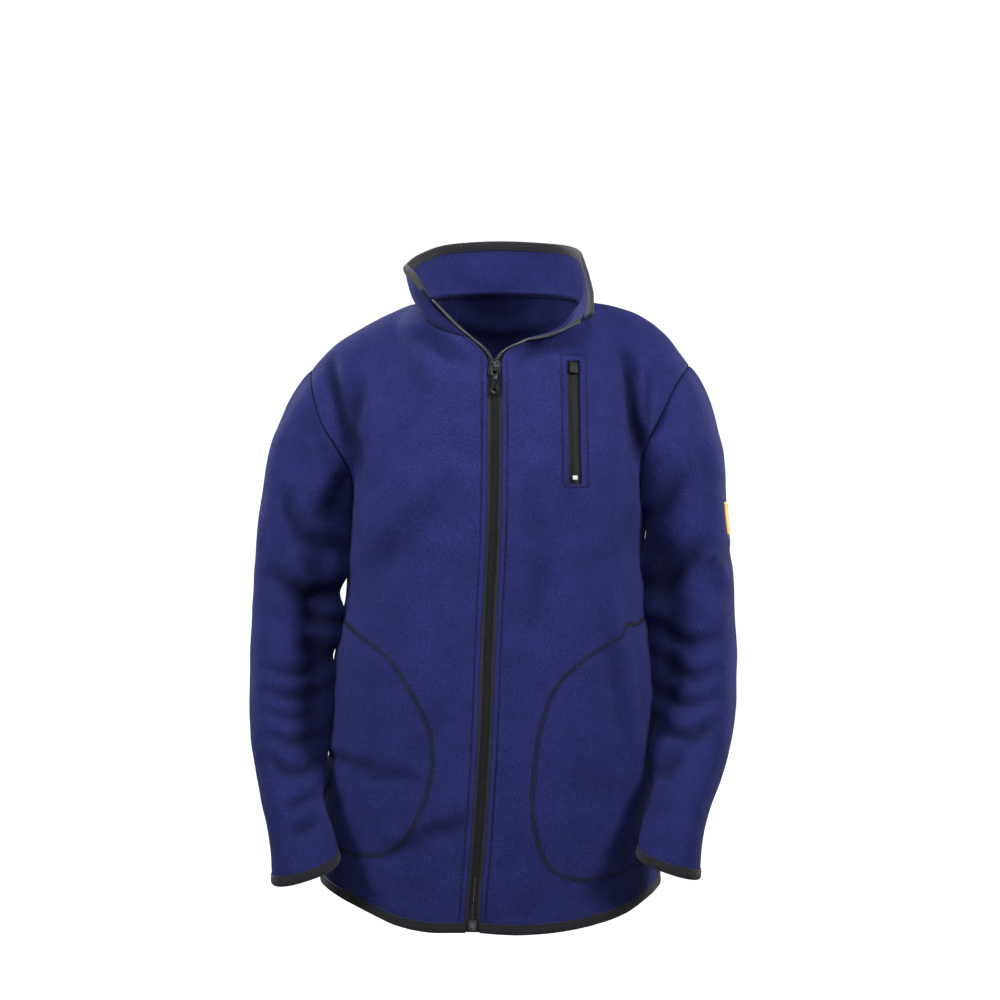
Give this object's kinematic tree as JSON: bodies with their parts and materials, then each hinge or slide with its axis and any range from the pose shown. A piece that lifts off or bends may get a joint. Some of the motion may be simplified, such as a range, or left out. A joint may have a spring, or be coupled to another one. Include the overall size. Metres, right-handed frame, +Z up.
{
  "type": "fleece zip jacket",
  "caption": "Hip-length zip jacket of smooth fleece in its worn shape, with a stand collar that stands open, hand pockets, a vertical chest-pocket zip and bound edges.",
  "frame": {"origin": "inside the base of the neck opening, midway across the shoulders, at the height where the shoulder seams reach the collar", "axes": "+Z up along the body, from the hem to the collar; -Y out of the jacket's front; +X towards the wearer's left sleeve"},
  "size_m": [0.4856, 0.2612, 0.6825],
  "materials": {
    "navy fleece": "matt brushed fleece",
    "navy fleece inside": "matt brushed fleece, pocket layer",
    "black stretch binding": "matt ribbed stretch tape",
    "black zip tape": "woven tape",
    "black moulded plastic": "satin moulded plastic",
    "black coil": "moulded coil under woven twill",
    "white stop": "satin plastic",
    "yellow woven label": "plain woven label"
  },
  "bodies": {
    "jacket": {"front_right": "navy fleece", "front_left": "navy fleece", "back": "navy fleece", "sleeve_right": "navy fleece", "sleeve_left": "navy fleece", "collar": "navy fleece", "collar_binding": "black stretch binding", "cuff_binding_right": "black stretch binding", "cuff_binding_left": "black stretch binding", "hem_binding": "black stretch binding", "zip_tape_right": "black zip tape", "zip_tape_left": "black zip tape", "zip_teeth_right": "black moulded plastic", "zip_teeth_left": "black moulded plastic", "zip_chain": "black moulded plastic", "zip_slider": "black moulded plastic", "zip_box": "black moulded plastic", "zip_pin": "black moulded plastic", "pocket_bag_right": "navy fleece inside", "pocket_bag_left": "navy fleece inside", "chest_zip_tape": "black zip tape", "chest_zip_coil": "black coil", "chest_zip_slider": "black moulded plastic", "chest_zip_stop": "white stop", "sleeve_label": "yellow woven label"},
    "pull": {"zip_pull": "black moulded plastic"}
  },
  "joints": [
    {"name": "zip_pull_hinge", "type": "hinge", "parent": "jacket", "child": "pull", "pos_m": [-0.00217, -0.1147, -0.06731], "axis": [-0.9989, 0.0252, 0.0394], "range_deg": [0, 150]}
  ]
}
